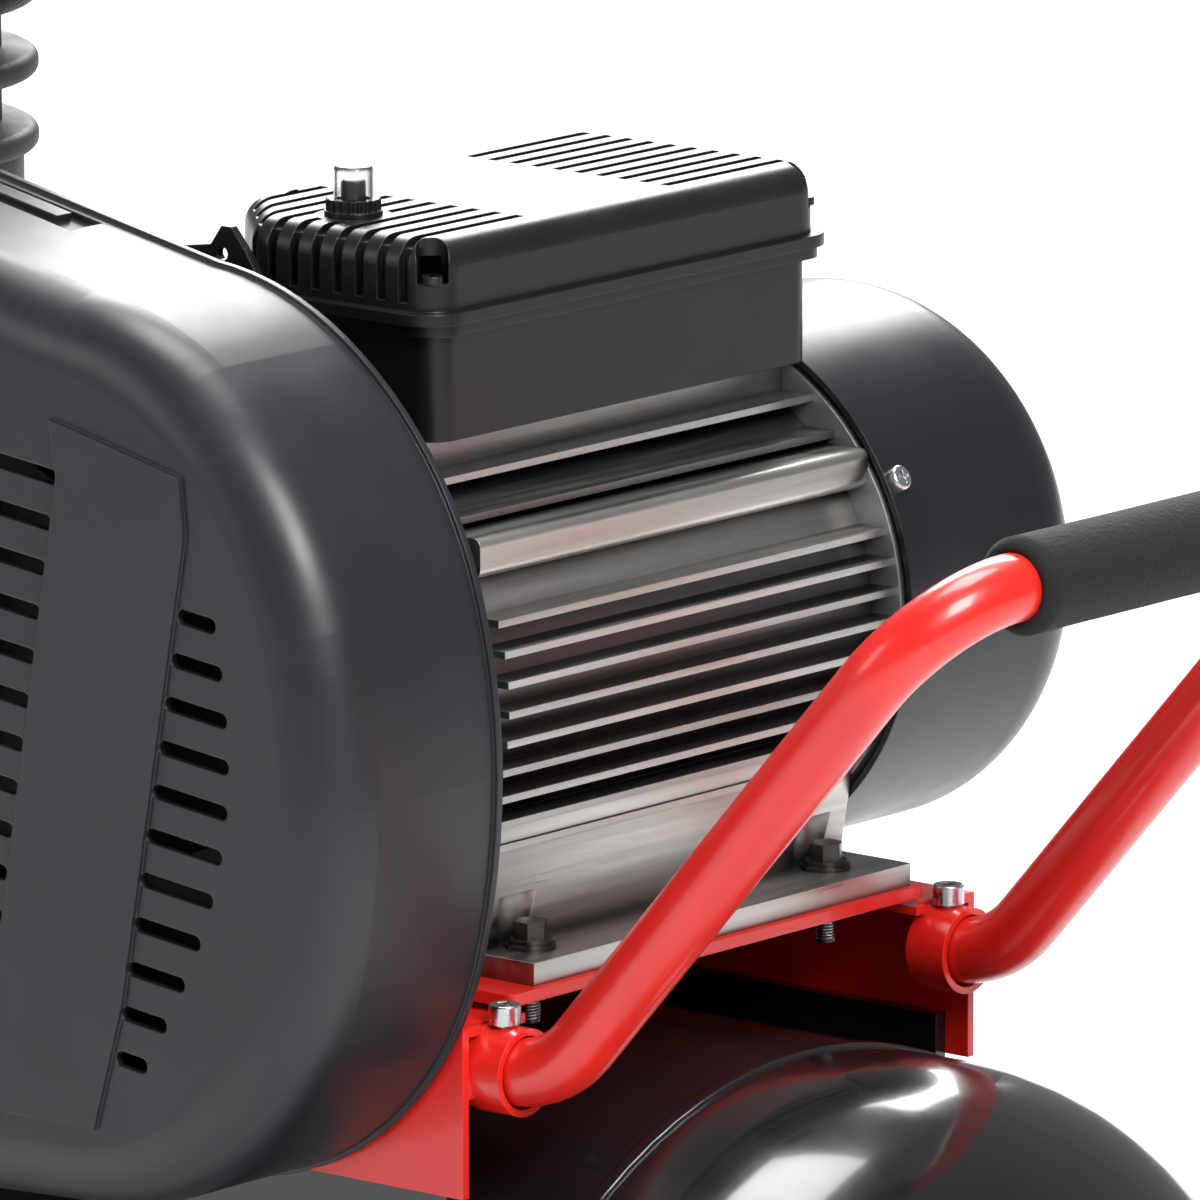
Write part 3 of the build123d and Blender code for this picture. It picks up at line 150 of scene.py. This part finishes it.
def surface(name, dark, light, rough, spread, patch=14.0, grain=900.0, depth=0.00004, strength=0.3,
            edge=0.0006, stretch=NO_STRETCH, wave=None, crevice=None, **sockets):
    """Two close colours in soft patches, uneven gloss, a fine grain and rounded edges.

    wave is a broad bump layer (scale, strength, depth). crevice paints shade into narrow gaps, where the
    colour is darkened (reach, share of the colour that is left). sockets set inputs of the shader by name,
    with _ in place of a space.
    """
    material, tree, shader = new_material(name)
    vector = object_coords(tree, stretch)
    patches = noise_node(tree, vector, patch, PATCH_DETAIL)
    colour = blend_colours(tree, patches, PATCH_SPAN, (dark, light))
    # painted shade: the colour is darkened in narrow gaps where walls are close
    if crevice:
        colour = paint_crevice_shade(tree, colour, *crevice)
    tree.links.new(colour, shader.inputs["Base Color"])
    uneven = noise_node(tree, vector, patch * GLOSS_FINENESS, GLOSS_DETAIL)
    gloss = remap(tree, uneven, GLOSS_SPAN, (rough - spread, rough + spread))
    tree.links.new(gloss, shader.inputs["Roughness"])
    layers = [(noise_node(tree, vector, grain, GRAIN_DETAIL), strength, depth)]
    if wave:
        wave_scale, wave_strength, wave_depth = wave
        layers.append((noise_node(tree, vector, wave_scale, WAVE_DETAIL), wave_strength, wave_depth))
    tree.links.new(bump_chain(tree, layers, edge), shader.inputs["Normal"])
    for socket, value in sockets.items():
        shader.inputs[socket.replace("_", " ")].default_value = value
    return material


def foam_finish(name, pore_shade, skin, rough, sheen):
    """Closed-cell foam: matt, with small open pores and soft lumps. Shade is painted into the pores as a
    darker colour than the skin.
    """
    material, tree, shader = new_material(name)
    vector = object_coords(tree)
    cells = tree.nodes.new("ShaderNodeTexVoronoi")
    cells.inputs["Scale"].default_value = FOAM_CELL_SCALE
    tree.links.new(vector, cells.inputs["Vector"])
    # painted shade: the pore centres take the darker colour, and the skin the lighter one
    colour = blend_colours(tree, cells.outputs["Distance"], FOAM_CELL_SPAN, (pore_shade, skin))
    tree.links.new(colour, shader.inputs["Base Color"])
    lumps = noise_node(tree, vector, FOAM_LUMP_SCALE, FOAM_LUMP_DETAIL)
    layers = [(cells.outputs["Distance"], *FOAM_CELL_BUMP), (lumps, *FOAM_LUMP_BUMP)]
    tree.links.new(bump_chain(tree, layers, FOAM_EDGE), shader.inputs["Normal"])
    shader.inputs["Roughness"].default_value = rough
    shader.inputs["Sheen Weight"].default_value = sheen
    return material


def clear_finish(name, tint, rough):
    """Clear plastic or glass with faint handling haze."""
    material, tree, shader = new_material(name)
    haze = noise_node(tree, object_coords(tree), HAZE_SCALE, HAZE_DETAIL)
    hazed = remap(tree, haze, (0.0, 1.0), (rough, rough + HAZE_SPREAD))
    tree.links.new(hazed, shader.inputs["Roughness"])
    shader.inputs["Base Color"].default_value = (*tint, 1)
    shader.inputs["Transmission Weight"].default_value = 1.0
    shader.inputs["IOR"].default_value = CLEAR_IOR
    return material


LOOKS = {
    "red_paint": dict(
        dark=(0.66, 0.012, 0.008), light=(0.74, 0.018, 0.010), rough=0.34, spread=0.05,
        grain=260.0, depth=0.00005, strength=0.16, Coat_Weight=0.45, Coat_Roughness=0.12,
    ),
    "tank_paint": dict(
        dark=(0.006, 0.006, 0.007), light=(0.010, 0.010, 0.011), rough=0.20, spread=0.05,
        grain=240.0, depth=0.00006, strength=0.2, wave=(9.0, 0.05, 0.001),
        Coat_Weight=0.5, Coat_Roughness=0.08,
    ),
    "guard_plastic": dict(
        dark=(0.0125, 0.0138, 0.0170), light=(0.0160, 0.0175, 0.0215), rough=0.38, spread=0.04,
        grain=1500.0, depth=0.00005, strength=0.28, edge=0.0010,
    ),
    "black_plastic": dict(
        dark=(0.0042, 0.0042, 0.0048), light=(0.0065, 0.0065, 0.0072), rough=0.34, spread=0.05,
        grain=1300.0, depth=0.00005, strength=0.3,
    ),
    "fan_cover_paint": dict(
        dark=(0.0058, 0.0064, 0.0088), light=(0.0080, 0.0088, 0.0118), rough=0.33, spread=0.04,
        grain=420.0, depth=0.00005, strength=0.2,
    ),
    "bare_aluminium": dict(
        dark=(0.40, 0.385, 0.36), light=(0.66, 0.64, 0.61), rough=0.36, spread=0.09,
        patch=90.0, grain=520.0, depth=0.00010, strength=0.45, edge=0.0003,
        # crevice: painted shade, the aluminium's colour falls to 16 % in narrow gaps
        stretch=(1, 0.035, 1), crevice=(0.012, 0.16), Metallic=1.0,
    ),
    "cast_aluminium": dict(
        dark=(0.34, 0.34, 0.34), light=(0.46, 0.46, 0.46), rough=0.52, spread=0.08,
        grain=700.0, depth=0.00025, strength=0.5, Metallic=1.0,
    ),
    "cast_iron": dict(
        dark=(0.020, 0.020, 0.021), light=(0.034, 0.034, 0.035), rough=0.58, spread=0.08,
        grain=520.0, depth=0.0004, strength=0.6, edge=0.0012,
    ),
    "zinc_steel": dict(
        dark=(0.58, 0.58, 0.60), light=(0.74, 0.74, 0.76), rough=0.27, spread=0.07,
        patch=60.0, grain=1400.0, strength=0.2, edge=0.0003, Metallic=1.0,
    ),
    "dark_steel": dict(
        dark=(0.050, 0.046, 0.043), light=(0.095, 0.088, 0.080), rough=0.36, spread=0.09,
        patch=80.0, grain=900.0, edge=0.0004, Metallic=1.0,
    ),
    "plain_steel": dict(
        dark=(0.38, 0.38, 0.39), light=(0.52, 0.52, 0.53), rough=0.34, spread=0.08,
        grain=1100.0, edge=0.0004, Metallic=1.0,
    ),
    "piston_alloy": dict(
        dark=(0.55, 0.55, 0.56), light=(0.68, 0.68, 0.69), rough=0.30, spread=0.06, Metallic=1.0,
    ),
    "capacitor_case": dict(
        dark=(0.55, 0.55, 0.53), light=(0.64, 0.64, 0.62), rough=0.42, spread=0.05,
    ),
    "fan_plastic": dict(
        dark=(0.018, 0.018, 0.018), light=(0.026, 0.026, 0.026), rough=0.52, spread=0.05,
    ),
    "red_plastic": dict(
        dark=(0.50, 0.020, 0.014), light=(0.58, 0.028, 0.018), rough=0.30, spread=0.04,
    ),
    "rubber": dict(
        dark=(0.014, 0.014, 0.014), light=(0.022, 0.022, 0.021), rough=0.66, spread=0.07,
        grain=800.0, strength=0.4,
    ),
    "tyre_rubber": dict(
        dark=(0.013, 0.013, 0.013), light=(0.024, 0.023, 0.022), rough=0.74, spread=0.07,
        grain=600.0, depth=0.0001, strength=0.5,
    ),
    "wheel_paint": dict(
        dark=(0.020, 0.020, 0.022), light=(0.030, 0.030, 0.032), rough=0.36, spread=0.05,
    ),
    "brass": dict(
        dark=(0.56, 0.38, 0.15), light=(0.70, 0.50, 0.22), rough=0.32, spread=0.07, Metallic=1.0,
    ),
    "copper": dict(
        dark=(0.56, 0.28, 0.17), light=(0.70, 0.38, 0.24), rough=0.33, spread=0.08,
        patch=40.0, Metallic=1.0,
    ),
    "gauge_case": dict(
        dark=(0.012, 0.012, 0.012), light=(0.018, 0.018, 0.018), rough=0.28, spread=0.04,
    ),
    "dial_white": dict(
        dark=(0.78, 0.78, 0.75), light=(0.84, 0.84, 0.82), rough=0.5, spread=0.04,
    ),
    "dial_black": dict(
        dark=(0.010, 0.010, 0.010), light=(0.016, 0.016, 0.016), rough=0.5, spread=0.04,
    ),
    "floor": dict(
        dark=(0.80, 0.80, 0.80), light=(0.84, 0.84, 0.84), rough=0.75, spread=0.05, patch=0.6,
    ),
}
FINISHES = {name: surface(name, **look) for name, look in LOOKS.items()}
FINISHES["foam"] = foam_finish(
    # the pore colour is painted shade inside the foam's pits
    "foam", pore_shade=(0.0020, 0.0020, 0.0020), skin=(0.0040, 0.0040, 0.0038), rough=0.88, sheen=0.02,
)
FINISHES["boot_plastic"] = clear_finish("boot_plastic", tint=(0.93, 0.95, 0.96), rough=0.06)
FINISHES["gauge_glass"] = clear_finish("gauge_glass", tint=(0.98, 0.98, 0.98), rough=0.01)

for part in frame["record"]["subparts"]:
    shown = frame["nodes"][part["node"]]
    for place in shown.material_slots:
        place.material = FINISHES[part["material_slot"]]


# ---------------------------------------------------------------- pieces built here
def add_piece(name, bm, finish, body):
    """A smooth piece from a bmesh, with its finish and the body it rides on."""
    mesh = bpy.data.meshes.new(name)
    bmesh.ops.recalc_face_normals(bm, faces=bm.faces)
    bm.to_mesh(mesh)
    bm.free()
    mesh.shade_smooth()
    piece = bpy.data.objects.new(name, mesh)
    bpy.context.collection.objects.link(piece)
    mesh.materials.append(FINISHES[finish])
    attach(piece, body)
    return piece


def join_rings(bm, here, there):
    """A band of quads between two closed rings of vertices."""
    for index in range(len(here)):
        after = (index + 1) % len(here)
        bm.faces.new((here[index], here[after], there[after], there[index]))


# foam grip: a sleeve with a slight waist and soft rounded ends that pinch in on the tube
GRIP_BORE = 0.0111
GRIP_RINGS = 46
GRIP_TURNS = 72
GRIP_WAIST = 0.012
GRIP_END_SHARE = 0.045
GRIP_PINCH = 0.16
GRIP_PINCH_POWER = 2.2
GRIP_WOBBLE = 0.006
WOBBLE_SCALE = 55


def sleeve_profile(radius, half):
    """Closed (radius, y) outline of the grip's wall."""
    outer = []
    for step in range(GRIP_RINGS + 1):
        along = -1 + 2 * step / GRIP_RINGS
        end = max(0.0, (abs(along) - (1 - GRIP_END_SHARE)) / GRIP_END_SHARE)
        waist = 1 - GRIP_WAIST * math.cos(along * math.pi / 2)
        outer.append((radius * waist * (1 - GRIP_PINCH * end ** GRIP_PINCH_POWER), along * half))
    return [(GRIP_BORE, -half)] + outer + [(GRIP_BORE, half)]


def lathe_y(profile, centre, turns, wobble):
    """Turns a closed (radius, y) outline about a line along Y through centre, a little unevenly."""
    bm = bmesh.new()
    rings = []
    for step in range(turns):
        angle = 2 * math.pi * step / turns
        ring = []
        for radius, y in profile:
            spot = Vector((math.cos(angle) * radius, y, math.sin(angle) * radius))
            swell = 1 + wobble * noise.noise(spot * WOBBLE_SCALE)
            ring.append(bm.verts.new(centre + Vector((spot.x * swell, spot.y, spot.z * swell))))
        rings.append(ring)
    for here, there in zip(rings, rings[1:] + rings[:1]):
        join_rings(bm, here, there)
    return bm


grip_low, grip_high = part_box("grip")
grip_size = grip_high - grip_low
sleeve = sleeve_profile(grip_size.x / 2, grip_size.y / 2)
grip_mesh = lathe_y(sleeve, (grip_low + grip_high) / 2, GRIP_TURNS, GRIP_WOBBLE)
grip = add_piece("grip_foam", grip_mesh, "foam", "root")
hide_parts("grip")


# bolt threads under the platform
THREAD_PITCH = 0.001
THREAD_TURNS = 6
THREAD_STEPS = 24
THREAD_FLANK = 0.42
THREAD_ROOT_R = 0.00295
THREAD_CREST_R = 0.00335
THREAD_START = 0.0007
WASHER_R = 0.0082


def add_thread(bm, x, y, low_z):
    """One helical ridge round a bolt's end."""
    ridge = ((THREAD_ROOT_R, -THREAD_FLANK), (THREAD_CREST_R, 0.0), (THREAD_ROOT_R, THREAD_FLANK))
    rows = []
    for step in range(THREAD_TURNS * THREAD_STEPS + 1):
        angle = 2 * math.pi * step / THREAD_STEPS
        z = low_z + THREAD_PITCH * step / THREAD_STEPS
        row = []
        for radius, rise in ridge:
            spot = (x + radius * math.cos(angle), y + radius * math.sin(angle), z + rise * THREAD_PITCH)
            row.append(bm.verts.new(spot))
        rows.append(row)
    for here, there in zip(rows, rows[1:]):
        join_rings(bm, here, there)
    bm.faces.new(rows[0])
    bm.faces.new(rows[-1])


bolts_low, bolts_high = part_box("foot_bolts")
threads = bmesh.new()
for bolt_x in (bolts_low.x + WASHER_R, bolts_high.x - WASHER_R):
    for bolt_y in (bolts_low.y + WASHER_R, bolts_high.y - WASHER_R):
        add_thread(threads, bolt_x, bolt_y, bolts_low.z + THREAD_START)
add_piece("bolt_threads", threads, "zinc_steel", "root")


# pressure gauge: dial plate, glass and scale marks. The glass and the dial's back are placed behind the
# gauge's front, and both faces of the marks are placed in front of the dial's back.
DIAL_BACK = 0.0078
DIAL_THICKNESS = 0.0006
DIAL_R = 0.0212
GLASS_FRONT = 0.0004
GLASS_BACK = 0.0016
GLASS_R = 0.0213
DISC_TURNS = 64
DISC_CHAMFER_SHARE = 0.25

MARK_COUNT = 21
MARKS_PER_LONG = 5
MARK_START = math.radians(45)
MARK_SWEEP = math.radians(270)
MARK_FRONT = 0.0008
MARK_BACK = 0.0005
MARK_OUTER_R = 0.0196
LONG_MARK = (0.0150, 0.00045)
SHORT_MARK = (0.0172, 0.0002)


def disc_x(x0, x1, radius, centre):
    """A round plate across X with a small chamfer on both rims."""
    bm = bmesh.new()
    chamfer = (x1 - x0) * DISC_CHAMFER_SHARE
    face_r = radius - chamfer
    outline = ((x0, face_r), (x0 + chamfer, radius), (x1 - chamfer, radius), (x1, face_r))
    rings = []
    for x, r in outline:
        ring = []
        for step in range(DISC_TURNS):
            angle = 2 * math.pi * step / DISC_TURNS
            ring.append(bm.verts.new((x, centre.y + r * math.cos(angle), centre.z + r * math.sin(angle))))
        rings.append(ring)
    for here, there in zip(rings, rings[1:]):
        join_rings(bm, here, there)
    bm.faces.new(rings[0])
    bm.faces.new(rings[-1])
    return bm


def add_mark(bm, turn, inner_r, half_width, front, back):
    """One raised bar on the dial, turned round the hub from straight down."""
    out = Vector((0, math.sin(turn), -math.cos(turn)))
    side = Vector((0, math.cos(turn), math.sin(turn)))
    corners = [
        (inner_r, -half_width), (MARK_OUTER_R, -half_width),
        (MARK_OUTER_R, half_width), (inner_r, half_width),
    ]
    face_a = [bm.verts.new(front + out * r + side * w) for r, w in corners]
    face_b = [bm.verts.new(back + out * r + side * w) for r, w in corners]
    bm.faces.new(face_a)
    bm.faces.new(face_b)
    join_rings(bm, face_a, face_b)


gauge_low, gauge_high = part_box("gauge")
hub = (gauge_low + gauge_high) / 2
dial_x = gauge_low.x + DIAL_BACK
dial = disc_x(dial_x - DIAL_THICKNESS, dial_x, DIAL_R, hub)
add_piece("gauge_dial", dial, "dial_white", "root")
glass = disc_x(gauge_low.x + GLASS_FRONT, gauge_low.x + GLASS_BACK, GLASS_R, hub)
add_piece("gauge_glass", glass, "gauge_glass", "root")
marks = bmesh.new()
mark_front = Vector((dial_x - MARK_FRONT, hub.y, hub.z))
mark_back = Vector((dial_x - MARK_BACK, hub.y, hub.z))
for step in range(MARK_COUNT):
    mark_turn = MARK_START + MARK_SWEEP * step / (MARK_COUNT - 1)
    mark_inner_r, mark_half_width = SHORT_MARK if step % MARKS_PER_LONG else LONG_MARK
    add_mark(marks, mark_turn, mark_inner_r, mark_half_width, mark_front, mark_back)
add_piece("gauge_marks", marks, "dial_black", "root")


# ---------------------------------------------------------------- floor, light and camera
FLOOR_HALF = 120.0
ground = bmesh.new()
bmesh.ops.create_grid(ground, x_segments=2, y_segments=2, size=FLOOR_HALF)
floor_mesh = bpy.data.meshes.new("floor")
ground.to_mesh(floor_mesh)
ground.free()
floor = bpy.data.objects.new("floor", floor_mesh)
bpy.context.collection.objects.link(floor)
floor_mesh.materials.append(FINISHES["floor"])

SKY_TINT = (0.93, 0.95, 1.0)
SKY_STRENGTH = 0.26
world = bpy.data.worlds.new("studio")
bpy.context.scene.world = world
world.use_nodes = True
sky = world.node_tree.nodes["Background"]
sky.inputs["Color"].default_value = (*SKY_TINT, 1)
sky.inputs["Strength"].default_value = SKY_STRENGTH


def soft_light(name, place, aim, size, power):
    """A rectangular lamp that the camera does not see; size is width and height, power is in watts."""
    data = bpy.data.lights.new(name, "AREA")
    data.shape = "RECTANGLE"
    data.size, data.size_y = size
    data.energy = power
    lamp = bpy.data.objects.new(name, data)
    lamp.location = place
    lamp.rotation_mode = "QUATERNION"
    lamp.rotation_quaternion = (Vector(aim) - Vector(place)).to_track_quat("-Z", "Y")
    lamp.visible_camera = False
    bpy.context.collection.objects.link(lamp)


MIDDLE = (0.15, 0.0, 0.55)
FLOOR_BEHIND = (-2.6, 3.2, 0.0)
soft_light("key", place=(2.6, -1.0, 2.6), aim=MIDDLE, size=(1.1, 1.5), power=105)
soft_light("fill", place=(-1.6, -3.2, 1.9), aim=MIDDLE, size=(1.2, 1.6), power=22)
soft_light("top", place=(0.0, 0.4, 3.4), aim=MIDDLE, size=(1.5, 1.5), power=80)
soft_light("floor_wash", place=(-4.5, 5.5, 4.5), aim=FLOOR_BEHIND, size=(5.0, 5.0), power=900)

CAMERA_TARGET = Vector((0.16546, 0.12965, 0.59413))
CAMERA_DISTANCE = 5.16667
AZIMUTH, ELEVATION = math.radians(39.8), math.radians(11.6)
SENSOR_MM = 36.0
LENS_MM = 465.0
VIEW_END = 200.0
away = Vector((
    math.sin(AZIMUTH) * math.cos(ELEVATION), -math.cos(AZIMUTH) * math.cos(ELEVATION), math.sin(ELEVATION),
))
camera_data = bpy.data.cameras.new("camera")
camera_data.sensor_width = SENSOR_MM
camera_data.lens = LENS_MM
camera_data.clip_end = VIEW_END
camera = bpy.data.objects.new("camera", camera_data)
camera.location = CAMERA_TARGET + away * CAMERA_DISTANCE
camera.rotation_mode = "QUATERNION"
camera.rotation_quaternion = (-away).to_track_quat("-Z", "Y")
bpy.context.collection.objects.link(camera)
bpy.context.scene.camera = camera
bpy.context.scene.view_settings.view_transform = "Standard"
